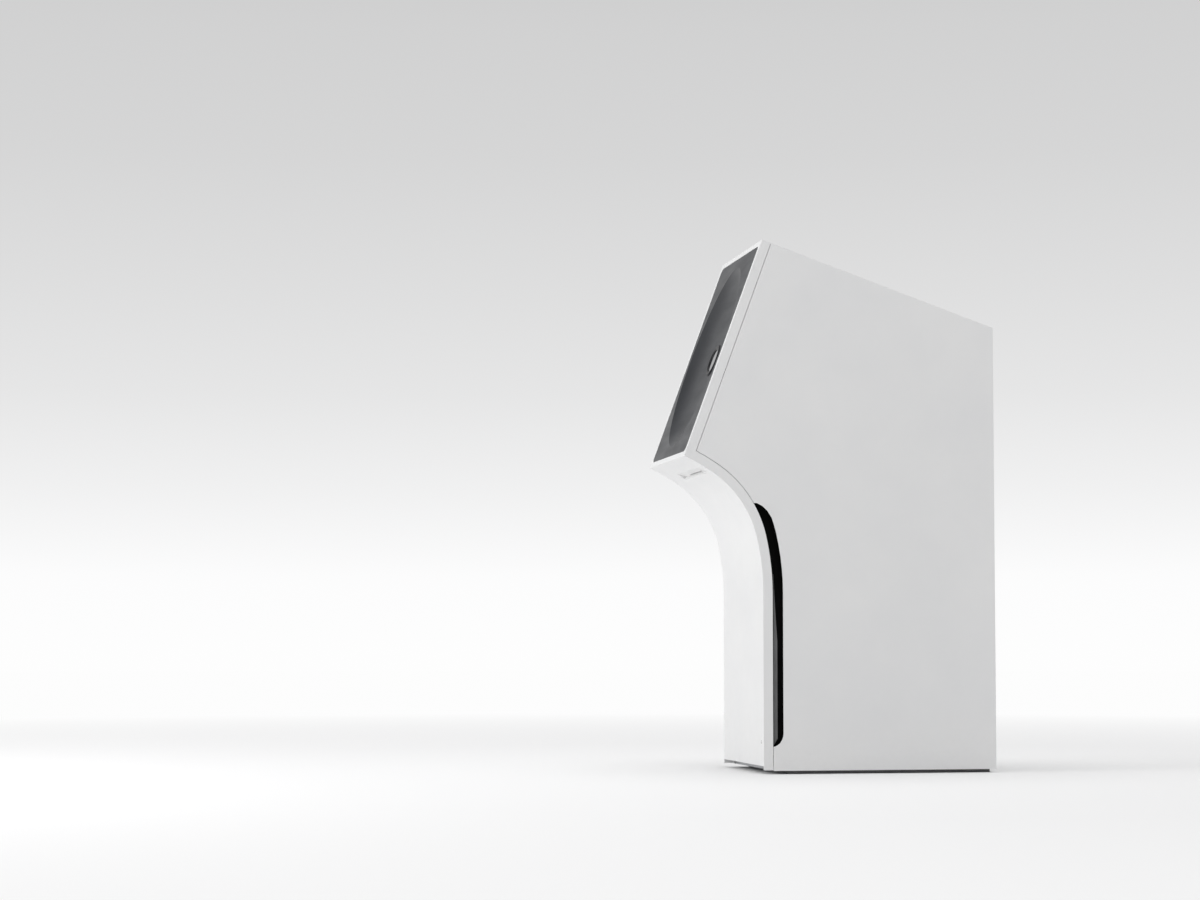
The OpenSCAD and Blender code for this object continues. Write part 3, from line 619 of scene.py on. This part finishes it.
# %% Cross-head screw
def cross_head(name, radius, height):
    """A pan head with a cross recess, standing on Z = 0."""
    path = [(0, 0), (1, 0), (1, 0.25), (0.94, 0.55), (0.78, 0.82), (0.5, 0.97), (0, 1)]
    head = turned(name, [(r * radius, h * height) for r, h in path], 32, closed=False)
    for quarter in (0, 1):
        bpy.ops.object.select_all(action="DESELECT")
        bpy.ops.mesh.primitive_cube_add(size=1, location=(0, 0, height))
        cutter = bpy.context.object
        cutter.scale = (radius * (1.15 if quarter else 0.24), radius * (0.24 if quarter else 1.15),
                        height * 1.1)
        bpy.ops.object.transform_apply(location=True, rotation=True, scale=True)
        only(head)
        recess = head.modifiers.new("recess", "BOOLEAN")
        recess.operation, recess.object, recess.solver = "DIFFERENCE", cutter, "EXACT"
        bpy.ops.object.modifier_apply(modifier="recess")
        bpy.data.objects.remove(cutter)
    return smooth(head, 35)


def place_heads(name, radius, height, turn, spots, body, *nodes):
    """Copies one screw head to each spot, from a mesh kept back before settling moves the first."""
    first = cross_head(name, radius, height)
    shape = first.data.copy()
    for number, spot in enumerate(spots):
        head = first if number == 0 else bpy.data.objects.new("%s_%d" % (name, number + 1), shape.copy())
        if number:
            bpy.context.scene.collection.objects.link(head)
        aim(head, spot, turn)
        settle(head, body, BRIGHT_STEEL, "bright_steel", *(nodes if number == 0 else ()))
    print(name, len(spots), "heads")


def island_spots(node):
    """The middle of each loose part of a node, by its own vertices."""
    mesh = frame["nodes"][node].data.copy()
    copy = bpy.data.objects.new("islands", mesh)
    bpy.context.scene.collection.objects.link(copy)
    only(copy)
    bpy.ops.object.mode_set(mode="EDIT")
    bpy.ops.mesh.select_all(action="SELECT")
    bpy.ops.mesh.remove_doubles(threshold=0.000004)
    bpy.ops.mesh.separate(type="LOOSE")
    bpy.ops.object.mode_set(mode="OBJECT")
    found = []
    for part in list(bpy.context.selected_objects):
        points = [v.co.copy() for v in part.data.vertices]
        low = Vector([min(p[i] for p in points) for i in range(3)])
        high = Vector([max(p[i] for p in points) for i in range(3)])
        found.append((low, high))
        bpy.data.objects.remove(part)
    return sorted(found, key=lambda pair: tuple(round(v, 4) for v in pair[0]))


screw_boxes = island_spots("rear_screws")
rear_spots = [((low.x + high.x) / 2, high.y - 0.0022, (low.z + high.z) / 2) for low, high in screw_boxes]
place_heads("rear_screw", 0.004, 0.0022, (-pi / 2, 0, 0), rear_spots, "cabinet", "rear_screws")

# %% [markdown]
# Two smaller heads hold each hinge leaf.

# %% Hinge screws
for node, body, along in (("hinge_leaf_body", "cabinet", 0.62), ("hinge_leaf_door", "front_door", 0.35)):
    spots = []
    for low, high in island_spots(node):
        for share in (0.2, 0.8):
            y = low.y + (high.y - low.y) * along if body == "cabinet" else high.y - 0.0155
            leaf_face = high.x - 0.002
            spots.append((leaf_face, y, low.z + (high.z - low.z) * share))
    place_heads(node + "_screw", 0.0028, 0.0012, (0, -pi / 2, 0), spots, body)

# %% [markdown]
# ## Lock
# The cylinder lock has a turned face with a sunk plug, and a narrow key slot cut across the plug.

# %% Lock barrel
barrel_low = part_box("lock_barrel")[0]
LOCK_SPOT = (middle("lock_barrel").x, barrel_low.y, middle("lock_barrel").z)
lock_path = [(0, 0.5), (3.9, 0.5), (4.1, 0.2), (4.3, 0), (5.5, 0), (5.95, 0.4), (5.95, 3), (8.95, 3),
             (8.95, 4.7),
             (5.95, 4.8), (5.95, 33.7), (2.95, 33.8), (2.95, 41.7), (0, 41.7)]
lock = turned("lock_barrel_turned", [(r * MM, h * MM) for r, h in lock_path], 48, closed=False)
bpy.ops.object.select_all(action="DESELECT")
bpy.ops.mesh.primitive_cube_add(size=1, location=(0, 0, 0.001))
key_slot = bpy.context.object
key_slot.scale = (0.0012, 0.0056, 0.006)
bpy.ops.object.transform_apply(location=True, rotation=True, scale=True)
only(lock)
slit = lock.modifiers.new("slit", "BOOLEAN")
slit.operation, slit.object, slit.solver = "DIFFERENCE", key_slot, "EXACT"
bpy.ops.object.modifier_apply(modifier="slit")
bpy.data.objects.remove(key_slot)
settle(smooth(aim(lock, LOCK_SPOT, (-pi / 2, 0, 0)), 30), "front_door", BRIGHT_STEEL, "bright_steel",
       "lock_barrel")

# %% [markdown]
# ## Mains inlet
# Three flat pins stand in the socket, the middle one lower than the outer two.

# %% Inlet pins
inlet_low, inlet_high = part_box("mains_inlet")
INLET_MIDDLE = Vector((inlet_low.x + 0.022, inlet_high.y - 0.0122, (inlet_low.z + inlet_high.z) / 2))
for number, (across, up) in enumerate(((-0.007, 0.0018), (0.0, -0.0022), (0.007, 0.0018))):
    bpy.ops.object.select_all(action="DESELECT")
    bpy.ops.mesh.primitive_cube_add(size=1, location=INLET_MIDDLE + Vector((across, 0, up)))
    pin = bpy.context.object
    pin.name = "inlet_pin_%d" % (number + 1)
    pin.scale = (0.002, 0.0155, 0.004)
    bpy.ops.object.transform_apply(location=False, rotation=True, scale=True)
    apply_bevel(pin, 0.0006, 2)
    settle(smooth(pin), "cabinet", BRIGHT_STEEL, "bright_steel")
print("inlet pins: 3")

# %% [markdown]
# ## Steelwork
# The frame and shelves are zinc plated and keep their design shapes with softened edges.

# %% Steelwork
for steel_name in ("base_plate", "frame_left", "frame_right", "printer_shelf", "computer_shelf",
                   "hinge_leaf_body", "hinge_leaf_door", "lock_strike", "print_chute"):
    dressed(steel_name, GREY_STEEL, "grey_steel", 0.0004)
for bright_name in ("foot_nuts", "hinge_pins", "lock_cam", "power_supply"):
    dressed(bright_name, BRIGHT_STEEL, "bright_steel", 0.0002)

# %% [markdown]
# The printer and the computer are bought-in boxes, seen only with the door open. They take a soft edge and
# their own moulded or anodised finish.

# %% Printer and computer
for case_name in ("printer_body", "printer_lid"):
    dressed(case_name, PRINTER_CASE, "printer_case", 0.0008)
dressed("computer", BLACK_ANODISED, "anodised_black", 0.0006)
dressed("paper_roll", PAPER, "paper", 0.0004)
dressed("feed_roller", FOOT_RUBBER, "foot_rubber", 0.0004)

# %% [markdown]
# ## Studio
# A plain pale floor fades into a glow of the same brightness as the surround, so there is no horizon line.

# %% Floor
bpy.ops.object.select_all(action="DESELECT")
bpy.ops.mesh.primitive_circle_add(vertices=128, radius=40, fill_type="TRIFAN", location=(0, 0, 0))
floor = bpy.context.object
floor.name = "studio_floor"
floor_paint, tree, shader = finish_of("pale_floor", (0.86, 0.86, 0.86), 0.9, specular=0.1)
place = add(tree, "ShaderNodeTexCoord")
length = add(tree, "ShaderNodeVectorMath", operation="LENGTH")
tree.links.new(place.outputs["Object"], length.inputs[0])
glow = add(tree, "ShaderNodeEmission", Color=(1, 1, 1, 1), Strength=0.98)
fade = add(tree, "ShaderNodeMixShader")
tree.links.new(spread(tree, length.outputs["Value"], 0.0, 1.0, 2.2, 7.0), fade.inputs["Fac"])
tree.links.new(shader.outputs["BSDF"], fade.inputs[1])
tree.links.new(glow.outputs["Emission"], fade.inputs[2])
tree.links.new(fade.outputs["Shader"], tree.nodes["Material Output"].inputs["Surface"])
floor.data.materials.append(floor_paint)

# %% [markdown]
# The surround is a ramp by height: white at the horizon, grey above. It lights the whole booth evenly. One
# large soft light stands in front, so the front is brighter than the side.

# %% Surround and soft light
world = bpy.data.worlds.new("studio")
bpy.context.scene.world = world
world.use_nodes = True
sky = world.node_tree
direction = add(sky, "ShaderNodeTexCoord")
rise = add(sky, "ShaderNodeSeparateXYZ")
sky.links.new(direction.outputs["Generated"], rise.inputs["Vector"])
tone = add(sky, "ShaderNodeValToRGB")
ends = tone.color_ramp.elements
ends[0].position, ends[0].color = 0.0, (0.985, 0.985, 0.985, 1)
ends[1].position, ends[1].color = 0.5, (0.39, 0.39, 0.394, 1)
for height, level in ((0.03, 0.975), (0.065, 0.88), (0.105, 0.79), (0.145, 0.735), (0.2, 0.67), (0.25,
                                                                                                 0.64)):
    ends.new(height).color = (level, level, level * 1.003, 1)
sky.links.new(rise.outputs["Z"], tone.inputs["Fac"])
sky.links.new(tone.outputs["Color"], sky.nodes["Background"].inputs["Color"])
sky.nodes["Background"].inputs["Strength"].default_value = 1.0


def soft_light(name, spot, size, power, target=(0, -0.1, 0.9)):
    """A round area light that faces target."""
    data = bpy.data.lights.new(name, "AREA")
    data.shape, data.size, data.energy = "DISK", size, power
    light = bpy.data.objects.new(name, data)
    light.location = spot
    light.rotation_euler = (Vector(target) - Vector(spot)).to_track_quat("-Z", "Y").to_euler()
    bpy.context.scene.collection.objects.link(light)


soft_light("front_light", (0.6, -5.2, 2.6), 3.0, 94)

# %% [markdown]
# The floor is lit evenly by a very wide overhead light, which leaves only a faint shadow at the base.

# %% Overhead light
overhead = bpy.data.objects.new("overhead", bpy.data.lights.new("overhead", "SUN"))
overhead.data.energy, overhead.data.angle = 1.55, radians(60)
bpy.context.scene.collection.objects.link(overhead)
bpy.context.scene.view_settings.view_transform = "Standard"
